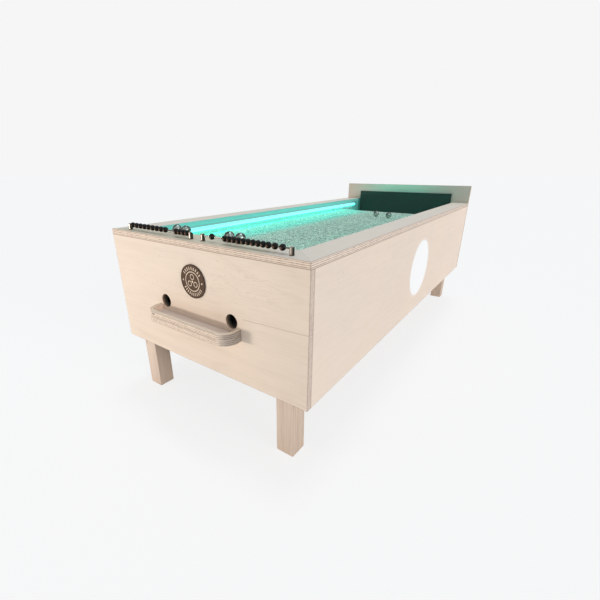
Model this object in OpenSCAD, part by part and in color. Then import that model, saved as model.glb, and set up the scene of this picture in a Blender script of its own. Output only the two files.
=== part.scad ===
// Table petanque game: a long plywood box on four legs.
// Boules are thrown along a matted lane between two light tubes. Those that run off its far end drop into
// a pit, roll back down a ramp under the lane and come out through two holes into a tray at the front.
// Two rods of thirteen beads on the front rim keep the score.
// Lengths are millimetres. The table frame has x = 0 at mid width, y = 0 at the outer face of the front
// panel and z = 0 on the floor. The origin is then moved to the middle of the footprint.

/* [Box] */
// Width over the side panels
table_w = 800; // [760:1:1000]
// Length from the front panel's face to the end board's back
table_l = 1810; // [1500:1:2400]
// Height of the rim's top above the floor
rim_top = 598; // [560:1:800]
// Height of the panels' lower edge above the floor
panel_bottom = 200; // [120:1:230]
// How far the end board stands above the rim
end_rise = 97; // [70:1:160]
// Thickness of the plywood boards
board_t = 18; // [15:1:21]
// Width of the rim boards
rim_w = 88; // [80:1:110]

/* [Legs] */
// Side of a square leg
leg_w = 60; // [50:1:80]
// Radius on a leg's long edges
leg_r = 3; // [1:0.5:6]
// Side of the battens between the legs and the side panels
batten_w = 38; // [30:1:42]
// Diameter of the leg bolts
bolt_d = 8; // [6:1:10]
// Length of a leg bolt's shank
bolt_l = 85; // [75:1:95]

/* [Lane] */
// Depth of the mat's surface below the rim's top
lane_depth = 55; // [50:1:70]
// Thickness of the mat
mat_t = 5; // [3:0.5:8]
// Length of the pit between the lane's far edge and the end board
pit_l = 264; // [150:1:400]
// Side of the cleats that carry the lane board and the ramp
cleat_w = 20; // [15:1:24]
// Thickness of the metal edge trim
trim_t = 1.5; // [1:0.5:3]
// Width of the trim's foot on the lane board, where it stands level with the mat
trim_lip = 12; // [8:1:20]

/* [Ball return] */
// Diameter of the two outlets
outlet_d = 43; // [38:1:50]
// Distance of each outlet from the middle
outlet_x = 145; // [110:1:160]
// Height of the outlets' centres above the floor
outlet_z = 391.5; // [385:0.5:410]
// Thickness of the ramp
ramp_t = 12; // [9:1:15]
// Rise of the ramp's top from the front panel to the end board
ramp_rise = 70; // [50:1:74]
// Height of the guides on the ramp
guide_h = 24; // [18:1:30]
// Reach of the guides back from the front panel
guide_l = 150; // [120:1:220]

/* [Ball tray] */
// Width of the tray
tray_w = 360; // [350:1:420]
// Depth of the tray from the front panel
tray_d = 62; // [55:1:80]
// Radius of the tray's outer corners
tray_r = 45; // [30:1:50]
// Width of the tray's rim
tray_wall = 13; // [9:1:18]
// How far the tray's rim stands above the outlets' lower edge
tray_lip = 6; // [2:1:12]

/* [Bumper] */
// Thickness of the bumper pad
bumper_t = 12; // [8:1:20]
// How far the bumper stands above the rim
bumper_rise = 50; // [30:1:60]
// Gap between the bumper's ends and the inner walls
bumper_side_gap = 12; // [5:1:30]
// Gap between the bumper's lower edge and the ramp
bumper_foot_gap = 5; // [2:1:20]

/* [Badge] */
// Diameter of the round badge
badge_d = 102; // [80:1:120]
// Thickness of the badge
badge_t = 4; // [3:0.5:6]
// Height of the badge's centre above the floor
badge_z = 482; // [478:1:490]
// Depth of the engraved ground between the badge's raised marks
badge_cut = 0.8; // [0.4:0.1:1.2]

/* [Light tubes] */
// Outer diameter of a light tube
tube_d = 16; // [15:0.5:20]
// Wall of a light tube
tube_wall = 1.2; // [0.8:0.1:1.6]
// Distance of a tube's near end from the front face
tube_start = 190; // [120:1:240]
// Distance of a tube's far end from the end board
tube_end_gap = 102; // [75:1:150]
// Gap between a tube and the rim's underside
tube_rim_gap = 4.5; // [1:0.5:6]
// Gap between a tube and the inner wall
tube_wall_gap = 1; // [0.8:0.1:2]
// Length of a tube's end cap
cap_l = 12; // [8:1:20]
// Thickness of the channel's web and of the light strip
channel_t = 1.2; // [1:0.1:1.5]

/* [Side light] */
// Diameter of the side light's lens
lens_d = 238; // [200:1:260]
// Thickness of the lens
lens_t = 4; // [3:0.5:6]
// Width of the ledge that the lens sits on
lens_ledge = 10; // [6:1:15]
// Distance of the lens's centre from the table's mid length, towards the front
light_shift = 10; // [-200:1:200]
// Height of the lens's centre above the floor
light_z = 391; // [380:1:420]
// Depth of the light pan behind the side panel
pan_depth = 14; // [10:1:18]
// Thickness of the pan's sheet
pan_t = 1.2; // [0.8:0.1:2]
// Diameter of the light board in the pan
light_board_d = 200; // [150:1:210]

/* [Power] */
// Length of the power supply
supply_l = 150; // [120:1:160]
// Depth of the power supply
supply_d = 30; // [24:1:34]
// Height of the power supply
supply_h = 40; // [30:1:50]
// Distance of the power supply from the end board
supply_back = 42; // [36:1:60]
// Outer diameter of the wiring
wire_d = 5; // [4:0.5:6]
// Bend radius of the wiring
wire_r = 8; // [6:1:10]
// Diameter of the inlet's barrel
inlet_d = 11; // [9:0.5:13]
// Diameter of the inlet's flange
inlet_flange_d = 18; // [16:1:22]

/* [Scoring] */
// Number of beads on a rod
bead_count = 13; // [9:1:13]
// Diameter of a bead
bead_d = 15; // [12:0.5:16]
// Length of a bead along the rod
bead_l = 16; // [14:0.5:17]
// Diameter of a rod
rod_d = 4; // [3:0.5:5]
// Radial clearance of a bead on its rod
bead_fit = 0.1; // [0.05:0.01:0.1]
// Diameter of a post
post_d = 12; // [10:0.5:14]
// Height of a post above the rim
post_h = 20; // [20:0.5:26]
// Height of the rods' axis above the rim
rod_rise = 16; // [10:0.5:16]
// Distance of the rods from the front face
score_y = 28; // [22:1:32]
// Distance of the inner posts from the middle
post_in_x = 25; // [15:1:30]
// Distance of the outer posts from the table's sides
post_edge = 70; // [60:1:75]

/* [Boules] */
// Diameter of a boule
boule_d = 30; // [26:1:34]
// Diameter of the jack
jack_d = 12; // [10:1:16]
// Diameter of the seats bored in the front rim
seat_d = 12; // [10:1:18]
// Depth of the seats
seat_depth = 4; // [3:0.5:8]
// Distance of the seats from the front face
seat_y = 64; // [58:1:68]
// Gap left between a boule and what it lies on
rest_gap = 0.3; // [0.2:0.05:0.5]

/* [Hidden] */
$fn = 64;

// Tells a cut to run past the face it leaves by
past = 1;
// Gap between a curved face and the seat that it is made for
seat_gap = 0.3;

half_w = table_w / 2;
inner_x = half_w - rim_w;
side_in_x = half_w - board_t;
end_y = table_l - board_t;
rim_under = rim_top - board_t;
end_top = rim_top + end_rise;
origin_y = (table_l - tray_d) / 2;

mat_top = rim_top - lane_depth;
lane_top = mat_top - mat_t;
lane_under = lane_top - board_t;
lane_end = end_y - pit_l;

ramp_low = outlet_z - outlet_d / 2;
ramp_run = end_y - board_t;
ramp_angle = atan(ramp_rise / ramp_run);
ramp_len = ramp_run / cos(ramp_angle);
wall_foot = 8;
wall_bottom = ramp_low - ramp_t - cleat_w - wall_foot;
guide_gap = 1;
outlet_in = outlet_x - outlet_d / 2 - guide_gap;
outlet_out = outlet_x + outlet_d / 2 + guide_gap;

leg_out_x = side_in_x - batten_w;
leg_mid_x = leg_out_x - leg_w / 2;
leg_rear_y = end_y - leg_w;

tray_top = ramp_low + tray_lip;
tray_floor_top = tray_top - board_t;

bumper_top = rim_top + bumper_rise;
bumper_bottom = ramp_low + ramp_rise + bumper_foot_gap;

tube_r = tube_d / 2;
tube_u = tube_r + tube_wall_gap;
tube_z = rim_under - tube_rim_gap - tube_r;
tube_end = end_y - tube_end_gap;
tube_l = tube_end - tube_start;
// Inside the tube the channel's head stands back from the tube's axis by head_back
head_back = tube_r * 0.5;
head_half = sqrt(pow(tube_r - tube_wall - seat_gap, 2) - pow(head_back, 2));
neck_half = tube_r * 0.42;
strip_half = head_half - 1;
cap_mid_y = tube_end + cap_l / 2;

supply_y1 = end_y - supply_back;
supply_y0 = supply_y1 - supply_l;
supply_x = side_in_x - supply_d / 2;
supply_z = light_z;
light_y = table_l / 2 - light_shift;
wire_hole = wire_d + 1.5;
wire_back_y = end_y - wire_d / 2 - seat_gap;
wire_cross_z = wall_bottom + 20;
wire_left_x = -(inner_x + board_t + 20);
pan_x = side_in_x - pan_depth;
pan_r = lens_d / 2 + 3;

score_z = rim_top + rod_rise;
post_out_x = half_w - post_edge;
post_grip = 5;
rod_in_x = post_in_x + post_d / 2 - post_grip;
rod_out_x = post_out_x - post_d / 2 + post_grip;
free_in_x = post_in_x + post_d / 2;
free_out_x = post_out_x - post_d / 2;
stud_d = 4;
stud_l = 12;

// Free length of a rod that the beads leave, shared out among the gaps between them
spare = free_out_x - free_in_x - bead_count * bead_l;

// On the left rod the scored beads stand at the inner post and the waiting ones at the outer post
left_scored = 4;
left_end_gap = spare * 0.0235;
left_wait_step = bead_l + spare * 0.52 / (bead_count - left_scored - 1);
left_score_step = bead_l + spare * 0.011 / (left_scored - 1);
function left_wait_x(i) = -(free_out_x - left_end_gap - bead_l / 2) + i * left_wait_step;
function left_score_x(i) = -(free_in_x + left_end_gap + bead_l / 2) - i * left_score_step;

// On the right rod one bead is scored, and the last two waiting ones stand a little apart
right_scored_x = free_in_x + spare * 0.279 + bead_l / 2;
right_next_x = right_scored_x + bead_l + spare * 0.392;
function right_wait_x(i) = right_next_x + i * (bead_l + 0.4)
    + (i >= bead_count - 3 ? spare * 0.047 : 0)
    + (i >= bead_count - 2 ? spare * 0.078 : 0);

boule_r = boule_d / 2;
boule_seat_z = rim_top + sqrt(pow(boule_r, 2) - pow(seat_d / 2, 2)) + rest_gap;
boule_mat_z = mat_top + boule_r + rest_gap;
seats_left = [-171.5, -130.5, -89.5];
seats_right = [94, 135, 176];

// Places on the mat: x as a share of the lane's half width, y from the lane's far edge
function on_mat(share, back) = [share * inner_x, lane_end - back];
mat_boules = [on_mat(0.083, 243), on_mat(0.35, 274)];
jack_place = on_mat(0.72, 278);

ply = [0.87, 0.78, 0.68];
timber = [0.80, 0.70, 0.60];
steel = [0.75, 0.76, 0.77];
glow = [0.60, 0.99, 0.99];
black = [0.08, 0.08, 0.08];

// Moves the table frame's origin to the middle of the footprint
module placed() {
    translate([0, -origin_y, 0]) children();
}

// Builds a right-hand piece as it is, and its left-hand twin as a mirror image
module on_side(s) {
    if (s < 0) {
        mirror([1, 0, 0]) children();
    } else {
        children();
    }
}

// A box from one corner to the opposite one
module block(low, high) {
    translate(low) cube(high - low);
}

// A rectangle from the origin with round corners
module round_rect(w, d, r) {
    translate([r, 0]) square([w - 2 * r, d]);
    translate([0, r]) square([w, d - 2 * r]);
    for (x = [r, w - r], y = [r, d - r]) {
        translate([x, y]) circle(r);
    }
}

// A cylinder along x, y or z from a start point
module bar_x(at, d, l) {
    translate(at) rotate([0, 90, 0]) cylinder(d = d, h = l);
}
module bar_y(at, d, l) {
    translate(at) rotate([-90, 0, 0]) cylinder(d = d, h = l);
}
module bar_z(at, d, l) {
    translate(at) cylinder(d = d, h = l);
}

// Casing

module front_panel() {
    color(ply) placed() difference() {
        block([-half_w, 0, panel_bottom], [half_w, board_t, rim_under]);
        for (s = [-1, 1]) {
            bar_y([s * outlet_x, -past, outlet_z], outlet_d, board_t + 2 * past);
        }
    }
}

module end_board() {
    color(ply) placed() difference() {
        block([-half_w, end_y, panel_bottom], [half_w, table_l, end_top]);
        bar_y([supply_x, end_y - past, supply_z], inlet_d + 2 * seat_gap, board_t + 2 * past);
        bar_y([supply_x, table_l - 2, supply_z], inlet_flange_d + 2 * seat_gap, 2 + past);
    }
}

module side_board(s) {
    on_side(s) block([side_in_x, board_t, panel_bottom], [half_w, end_y, rim_under]);
}

module side_panel_left() {
    color(ply) placed() side_board(-1);
}

module side_panel_right() {
    color(ply) placed() difference() {
        side_board(1);
        bar_x([half_w - lens_t, light_y, light_z], lens_d + 2 * seat_gap, lens_t + past);
        bar_x([side_in_x - past, light_y, light_z], lens_d - 2 * lens_ledge, board_t);
    }
}

module front_rim() {
    color(ply) placed() difference() {
        translate([0, 0, rim_under]) linear_extrude(board_t) {
            polygon([[-half_w, 0], [half_w, 0], [inner_x, rim_w], [-inner_x, rim_w]]);
        }
        for (s = [-1, 1], x = [post_in_x, post_out_x]) {
            bar_z([s * x, score_y, rim_top - stud_l - past], stud_d + 2 * seat_gap, stud_l + 2 * past);
        }
        for (x = concat(seats_left, seats_right)) {
            bar_z([x, seat_y, rim_top - seat_depth], seat_d, seat_depth + past);
        }
    }
}

module side_rim(s) {
    on_side(s) translate([0, 0, rim_under]) linear_extrude(board_t) {
        polygon([[half_w, 0], [half_w, end_y], [inner_x, end_y], [inner_x, rim_w]]);
    }
}

module rim_left() {
    color(ply) placed() side_rim(-1);
}

module rim_right() {
    color(ply) placed() side_rim(1);
}

// The inner wall has a hole behind the tube's cap and a notch for the wire along the end board
module inner_wall(s) {
    on_side(s) difference() {
        block([inner_x, board_t, wall_bottom], [inner_x + board_t, end_y, rim_under]);
        bar_x([inner_x - past, cap_mid_y, tube_z], wire_hole, board_t + 2 * past);
        block([inner_x - past, end_y - wire_hole - seat_gap, wall_bottom - past],
              [inner_x + board_t + past, end_y + past, wire_cross_z + wire_hole / 2]);
    }
}

module inner_wall_left() {
    color(ply) placed() inner_wall(-1);
}

module inner_wall_right() {
    color(ply) placed() inner_wall(1);
}

module batten(s) {
    on_side(s) difference() {
        block([leg_out_x, board_t, panel_bottom], [side_in_x, end_y, panel_bottom + batten_w]);
        for (y = leg_bolt_ys()) {
            bar_x([leg_out_x - past, y, panel_bottom + batten_w / 2], bolt_d + 2 * seat_gap,
                  bolt_l - leg_w + 2 * past);
        }
    }
}

module batten_left() {
    color(timber) placed() batten(-1);
}

module batten_right() {
    color(timber) placed() batten(1);
}

// Two bolts pass through each leg into its batten
function leg_bolt_ys() = [for (y0 = [board_t, leg_rear_y], share = [0.28, 0.72]) y0 + share * leg_w];

module leg(s, y0) {
    on_side(s) difference() {
        translate([leg_out_x - leg_w, y0, 0]) linear_extrude(wall_bottom) round_rect(leg_w, leg_w, leg_r);
        for (y = leg_bolt_ys()) {
            bar_x([leg_out_x - leg_w - past, y, panel_bottom + batten_w / 2], bolt_d + 2 * seat_gap,
                  leg_w + 2 * past);
        }
    }
}

module leg_front_left() {
    color(timber) placed() leg(-1, board_t);
}

module leg_front_right() {
    color(timber) placed() leg(1, board_t);
}

module leg_rear_left() {
    color(timber) placed() leg(-1, leg_rear_y);
}

module leg_rear_right() {
    color(timber) placed() leg(1, leg_rear_y);
}

// Hexagon head, washer and shank, with the head against the leg's inner face
module leg_bolt() {
    rotate([0, 90, 0]) {
        translate([0, 0, -1.6]) cylinder(d = bolt_d * 2.2, h = 1.6);
        translate([0, 0, -1.6 - bolt_d * 0.65]) cylinder(d = bolt_d * 1.88, h = bolt_d * 0.65, $fn = 6);
        translate([0, 0, -past]) cylinder(d = bolt_d, h = bolt_l + past);
    }
}

module leg_bolts() {
    color(steel) placed() for (s = [-1, 1], y = leg_bolt_ys()) {
        on_side(s) translate([leg_out_x - leg_w, y, panel_bottom + batten_w / 2]) leg_bolt();
    }
}

// Lane

module lane_board() {
    color(ply) placed() block([-inner_x, board_t, lane_under], [inner_x, lane_end, lane_top]);
}

module lane_mat() {
    color([0.58, 0.70, 0.65]) placed() {
        block([-inner_x, board_t, lane_top], [inner_x, lane_end - trim_lip, mat_top]);
    }
}

// A rebated strip that covers the board's far edge and ends level with the mat, so that boules roll over it
module lane_edge_trim() {
    color(steel) placed() translate([-inner_x, 0, 0]) rotate([90, 0, 90]) linear_extrude(2 * inner_x) {
        polygon([
            [lane_end, lane_under], [lane_end + trim_t, lane_under], [lane_end + trim_t, mat_top],
            [lane_end - trim_lip, mat_top], [lane_end - trim_lip, lane_top], [lane_end, lane_top]
        ]);
    }
}

module lane_cleat(s) {
    on_side(s) block([inner_x - cleat_w, board_t, lane_under - cleat_w], [inner_x, lane_end, lane_under]);
}

module lane_cleat_left() {
    color(timber) placed() lane_cleat(-1);
}

module lane_cleat_right() {
    color(timber) placed() lane_cleat(1);
}

// Ball return

// Lays a piece on the ramp: y runs up the slope from the front panel and z is square to it
module on_ramp() {
    intersection() {
        translate([0, board_t, ramp_low]) rotate([ramp_angle, 0, 0]) children();
        block([-half_w, board_t, 0], [half_w, end_y, rim_top]);
    }
}

module return_ramp() {
    color(ply) placed() on_ramp() {
        block([-inner_x, -cleat_w, -ramp_t], [inner_x, ramp_len + cleat_w, 0]);
    }
}

module ramp_cleat(s) {
    on_ramp() on_side(s) {
        block([inner_x - cleat_w, -2 * cleat_w, -ramp_t - cleat_w], [inner_x, ramp_len + cleat_w, -ramp_t]);
    }
}

module ramp_cleat_left() {
    color(timber) placed() ramp_cleat(-1);
}

module ramp_cleat_right() {
    color(timber) placed() ramp_cleat(1);
}

// A wedge that parts the boules to the two outlets
module centre_guide() {
    color(ply) placed() on_ramp() translate([0, 0, 0]) linear_extrude(guide_h) {
        polygon([[-outlet_in, -board_t], [outlet_in, -board_t], [outlet_in, 0], [0, guide_l], [-outlet_in, 0]]);
    }
}

module side_guide(s) {
    on_ramp() on_side(s) linear_extrude(guide_h) {
        polygon([[outlet_out, -board_t], [inner_x, -board_t], [inner_x, guide_l], [outlet_out, 0]]);
    }
}

module side_guide_left() {
    color(ply) placed() side_guide(-1);
}

module side_guide_right() {
    color(ply) placed() side_guide(1);
}

// The tray's outline in plan, drawn in by an inset, with its straight side on the front panel
module tray_outline(inset) {
    w = tray_w / 2 - inset;
    d = tray_d - inset;
    r = tray_r - inset;
    translate([-w + r, -d]) square([2 * (w - r), d]);
    translate([-w, -d + r]) square([2 * w, d - r]);
    for (s = [-1, 1]) {
        intersection() {
            translate([s * (w - r), -d + r]) circle(r);
            translate([s * (w - r / 2) - r / 2, -d]) square([r, r]);
        }
    }
}

module tray_floor() {
    color(ply) placed() translate([0, 0, tray_floor_top - board_t]) linear_extrude(board_t) {
        tray_outline(0);
    }
}

module tray_rim() {
    color(ply) placed() translate([0, 0, tray_floor_top]) difference() {
        linear_extrude(board_t) tray_outline(0);
        translate([0, 0, -past]) linear_extrude(board_t + 2 * past) tray_outline(tray_wall);
        block([-tray_w / 2 + tray_wall, -tray_d / 4, -past], [tray_w / 2 - tray_wall, past, board_t + past]);
    }
}

// Bumper and badge

module end_bumper() {
    color([0.13, 0.20, 0.17]) placed() {
        block([-inner_x + bumper_side_gap, end_y - bumper_t, bumper_bottom],
              [inner_x - bumper_side_gap, end_y, bumper_top]);
    }
}

// A flat ring of an outer radius and a width
module ring(r, w) {
    difference() {
        circle(r);
        circle(r - w);
    }
}

// Short radial strokes, centred on a direction, between two radii
module strokes(count, mid, step, r_in, r_out, w) {
    for (i = [0 : count - 1]) {
        rotate(mid + (i - (count - 1) / 2) * step) translate([r_in, -w / 2]) square([r_out - r_in, w]);
    }
}

// The badge's raised marks: a rim, an inner ring, two arcs of strokes parted by a dot at either side, and
// three rings round a dot that stand for boules round the jack
module badge_marks() {
    r = badge_d / 2;
    ring(r, r * 0.05);
    ring(r * 0.60, r * 0.06);
    strokes(9, 90, 13.5, r * 0.68, r * 0.87, r * 0.075);
    strokes(11, 270, 11.5, r * 0.68, r * 0.87, r * 0.065);
    for (s = [-1, 1]) {
        translate([s * r * 0.78, 0]) circle(r * 0.055);
    }
    for (a = [90, 210, 330]) {
        rotate(a) translate([r * 0.28, 0]) ring(r * 0.17, r * 0.05);
    }
    circle(r * 0.07);
}

// A round disc with its marks left standing on an engraved ground
module badge() {
    color([0.36, 0.27, 0.21]) placed() translate([0, 0, badge_z]) rotate([90, 0, 0]) {
        cylinder(d = badge_d, h = badge_t - badge_cut);
        translate([0, 0, badge_t - badge_cut - badge_cut / 2]) linear_extrude(badge_cut * 1.5) badge_marks();
    }
}

// Light tubes. A profile is drawn with x out from the wall and y up from the tube's axis, and then runs
// along the right inner wall.
module along_wall(s, y0, l) {
    on_side(s) translate([inner_x, y0, tube_z]) rotate([90, 0, 180]) linear_extrude(l) children();
}

// Foot on the wall, neck through the tube's slot and head inside the tube
module light_channel(s) {
    along_wall(s, tube_start, tube_l) {
        head_u = tube_u - head_back;
        translate([0, -tube_r + 1]) square([tube_wall_gap, tube_d - 2]);
        translate([0, -neck_half]) square([head_u, 2 * neck_half]);
        translate([head_u - channel_t, -head_half + channel_t]) square([channel_t, 2 * (head_half - channel_t)]);
    }
}

module light_channel_left() {
    color(steel) placed() light_channel(-1);
}

module light_channel_right() {
    color(steel) placed() light_channel(1);
}

module light_strip(s) {
    along_wall(s, tube_start, tube_l) {
        translate([tube_u - head_back, -strip_half + channel_t]) {
            square([channel_t, 2 * (strip_half - channel_t)]);
        }
    }
}

module light_strip_left() {
    color("white") placed() light_strip(-1);
}

module light_strip_right() {
    color("white") placed() light_strip(1);
}

// A round opal tube with a slot along its back
module light_tube(s) {
    along_wall(s, tube_start, tube_l) translate([tube_u, 0]) difference() {
        circle(tube_r);
        circle(tube_r - tube_wall);
        translate([-tube_u, -neck_half - seat_gap]) square([tube_u, 2 * (neck_half + seat_gap)]);
    }
}

module light_tube_left() {
    color(glow) placed() light_tube(-1);
}

module light_tube_right() {
    color(glow) placed() light_tube(1);
}

module light_end_caps() {
    color(black) placed() for (s = [-1, 1], y0 = [tube_start - cap_l, tube_end]) {
        along_wall(s, y0, cap_l) {
            translate([tube_u, 0]) circle(tube_r);
            translate([0, -tube_r]) square([tube_u, tube_d]);
        }
    }
}

// Side light

module side_light_lens() {
    color("white") placed() bar_x([half_w - lens_t, light_y, light_z], lens_d, lens_t);
}

// A shallow round pan with a flange on the side panel's inner face
module side_light_pan() {
    color(steel) placed() difference() {
        union() {
            bar_x([pan_x, light_y, light_z], 2 * pan_r, pan_depth);
            bar_x([side_in_x - pan_t, light_y, light_z], 2 * pan_r + 20, pan_t);
        }
        bar_x([pan_x + pan_t, light_y, light_z], 2 * (pan_r - pan_t), pan_depth);
    }
}

module side_light_board() {
    color("white") placed() bar_x([pan_x + pan_t, light_y, light_z], light_board_d, 1.6);
}

// Power

module power_supply() {
    color(black) placed() {
        translate([side_in_x - supply_d, supply_y0, supply_z - supply_h / 2]) {
            translate([0, supply_l, 0]) rotate([90, 0, 0]) linear_extrude(supply_l) {
                round_rect(supply_d, supply_h, 3);
            }
            translate([supply_d - 3, -12, 8]) cube([3, supply_l + 24, supply_h - 16]);
        }
    }
}

// A round low-voltage socket, flush in the end board, with its contact pin
module power_inlet() {
    color(black) placed() difference() {
        union() {
            bar_y([supply_x, table_l - 2, supply_z], inlet_flange_d, 2);
            bar_y([supply_x, end_y - 12, supply_z], inlet_d, board_t + 12);
        }
        difference() {
            bar_y([supply_x, table_l - 10, supply_z], 6, 10 + past);
            bar_y([supply_x, table_l - 10 - past, supply_z], 2, 9 + past);
        }
    }
}

// A quarter bend at corner p, from direction u into direction v
module wire_bend(p, u, v) {
    c = p - wire_r * u + wire_r * v;
    w = cross(u, v);
    multmatrix([
        [-v[0], u[0], w[0], c[0]],
        [-v[1], u[1], w[1], c[1]],
        [-v[2], u[2], w[2], c[2]],
        [0, 0, 0, 1]
    ]) rotate_extrude(angle = 90) translate([wire_r, 0]) circle(d = wire_d);
}

// A straight run from a to b, along one axis of the frame
module wire_run(a, b) {
    l = norm(b - a);
    u = (b - a) / l;
    if (abs(u[0]) > 0.5) {
        bar_x(u[0] > 0 ? a : b, wire_d, l);
    } else if (abs(u[1]) > 0.5) {
        bar_y(u[1] > 0 ? a : b, wire_d, l);
    } else {
        bar_z(u[2] > 0 ? a : b, wire_d, l);
    }
}

// A wire through corner points, with a bend at each one between the ends
module wire(points) {
    last = len(points) - 1;
    for (i = [0 : last - 1]) {
        u = (points[i + 1] - points[i]) / norm(points[i + 1] - points[i]);
        wire_run(points[i] + (i > 0 ? wire_r : 0) * u, points[i + 1] - (i < last - 1 ? wire_r : 0) * u);
        if (i < last - 1) {
            wire_bend(points[i + 1], u, (points[i + 2] - points[i + 1]) / norm(points[i + 2] - points[i + 1]));
        }
    }
}

// Leads from the inlet to the supply, and from it to the side light and to both tubes
module light_wiring() {
    turn_y = supply_y1 - 20;
    pan_side_x = side_in_x - pan_depth / 2;
    color([0.85, 0.85, 0.85]) placed() {
        wire([[supply_x, supply_y1, supply_z], [supply_x, end_y - 12, supply_z]]);
        wire([[pan_side_x, light_y + pan_r + seat_gap, light_z], [pan_side_x, supply_y0, light_z]]);
        wire([[inner_x, cap_mid_y, tube_z], [supply_x, cap_mid_y, tube_z],
              [supply_x, cap_mid_y, supply_z + supply_h / 2]]);
        wire([[-inner_x, cap_mid_y, tube_z], [wire_left_x, cap_mid_y, tube_z],
              [wire_left_x, cap_mid_y, wire_cross_z], [wire_left_x, wire_back_y, wire_cross_z],
              [supply_x, wire_back_y, wire_cross_z], [supply_x, turn_y, wire_cross_z],
              [supply_x, turn_y, supply_z - supply_h / 2]]);
    }
}

// Scoring

// A turned post with an eased top edge, a blind hole for the rod's end and a stud into the rim
module score_post() {
    difference() {
        union() {
            rotate_extrude() polygon([
                [0, 0], [post_d / 2, 0], [post_d / 2, post_h - 1], [post_d / 2 - 1, post_h], [0, post_h]
            ]);
            translate([0, 0, -stud_l]) cylinder(d = stud_d, h = stud_l + past);
        }
        bar_x([post_d / 2 - post_grip, 0, rod_rise], rod_d + 2 * bead_fit, post_d);
    }
}

module score_posts() {
    color(steel) placed() for (s = [-1, 1]) {
        on_side(s) translate([post_in_x, score_y, rim_top]) score_post();
        on_side(s) translate([post_out_x, score_y, rim_top]) mirror([1, 0, 0]) score_post();
    }
}

module score_rod(s) {
    on_side(s) bar_x([rod_in_x, score_y, score_z], rod_d, rod_out_x - rod_in_x);
}

module score_rod_left() {
    color(steel) placed() score_rod(-1);
}

module score_rod_right() {
    color(steel) placed() score_rod(1);
}

// A round bead along x, drawn as one arc turned about its bore
module bead(x) {
    bulge = bead_l / 2 + 1;
    translate([x, score_y, score_z]) rotate([0, 90, 0]) rotate_extrude() intersection() {
        translate([bead_d / 2 - bulge, 0]) circle(bulge);
        translate([rod_d / 2 + bead_fit, -bead_l / 2]) square([bead_d, bead_l]);
    }
}

module beads(places) {
    color([0.10, 0.08, 0.07]) placed() for (x = places) bead(x);
}

module waiting_beads_left() {
    beads([for (i = [0 : bead_count - left_scored - 2]) left_wait_x(i)]);
}

module next_bead_left() {
    beads([left_wait_x(bead_count - left_scored - 1)]);
}

module scored_beads_left() {
    beads([for (i = [0 : left_scored - 1]) left_score_x(i)]);
}

module waiting_beads_right() {
    beads([for (i = [1 : bead_count - 2]) right_wait_x(i)]);
}

module next_bead_right() {
    beads([right_wait_x(0)]);
}

module scored_bead_right() {
    beads([right_scored_x]);
}

// Boules

// A steel ball with turned grooves, spaced either side of its equator
module boule(at, grooves, tilt) {
    color(steel) placed() translate(at) rotate(tilt) rotate_extrude() difference() {
        intersection() {
            circle(boule_r);
            translate([0, -boule_r]) square([boule_r, boule_d]);
        }
        for (a = grooves) {
            rotate(a) translate([boule_r + 0.3, 0]) circle(0.8, $fn = 24);
        }
    }
}

module boule_rim_1() {
    boule([seats_left[1], seat_y, boule_seat_z], [-28, 0, 28], [20, 30, 0]);
}

module boule_rim_2() {
    boule([seats_left[2], seat_y, boule_seat_z], [-28, 0, 28], [-35, 15, 0]);
}

module boule_rim_3() {
    boule([seats_right[0], seat_y, boule_seat_z], [-14, 14], [40, -20, 0]);
}

module boule_rim_4() {
    boule([seats_right[1], seat_y, boule_seat_z], [-14, 14], [-15, 35, 0]);
}

module boule_mat_1() {
    boule([mat_boules[0][0], mat_boules[0][1], boule_mat_z], [-28, 0, 28], [30, 10, 0]);
}

module boule_mat_2() {
    boule([mat_boules[1][0], mat_boules[1][1], boule_mat_z], [-14, 14], [10, -30, 0]);
}

module jack() {
    color([0.85, 0.45, 0.15]) placed() {
        translate([jack_place[0], jack_place[1], mat_top + jack_d / 2 + rest_gap]) sphere(d = jack_d);
    }
}

front_panel();
end_board();
side_panel_left();
side_panel_right();
front_rim();
rim_left();
rim_right();
inner_wall_left();
inner_wall_right();
batten_left();
batten_right();
leg_front_left();
leg_front_right();
leg_rear_left();
leg_rear_right();
leg_bolts();
lane_board();
lane_mat();
lane_edge_trim();
lane_cleat_left();
lane_cleat_right();
return_ramp();
ramp_cleat_left();
ramp_cleat_right();
centre_guide();
side_guide_left();
side_guide_right();
tray_floor();
tray_rim();
end_bumper();
badge();
light_channel_left();
light_channel_right();
light_strip_left();
light_strip_right();
light_tube_left();
light_tube_right();
light_end_caps();
side_light_lens();
side_light_pan();
side_light_board();
power_supply();
power_inlet();
light_wiring();
score_posts();
score_rod_left();
score_rod_right();
waiting_beads_left();
next_bead_left();
scored_beads_left();
waiting_beads_right();
next_bead_right();
scored_bead_right();
boule_rim_1();
boule_rim_2();
boule_rim_3();
boule_rim_4();
boule_mat_1();
boule_mat_2();
jack();
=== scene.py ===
"""Table petanque game: finishes, eased boards, turned beads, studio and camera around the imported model."""
import math
from functools import cached_property

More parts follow.
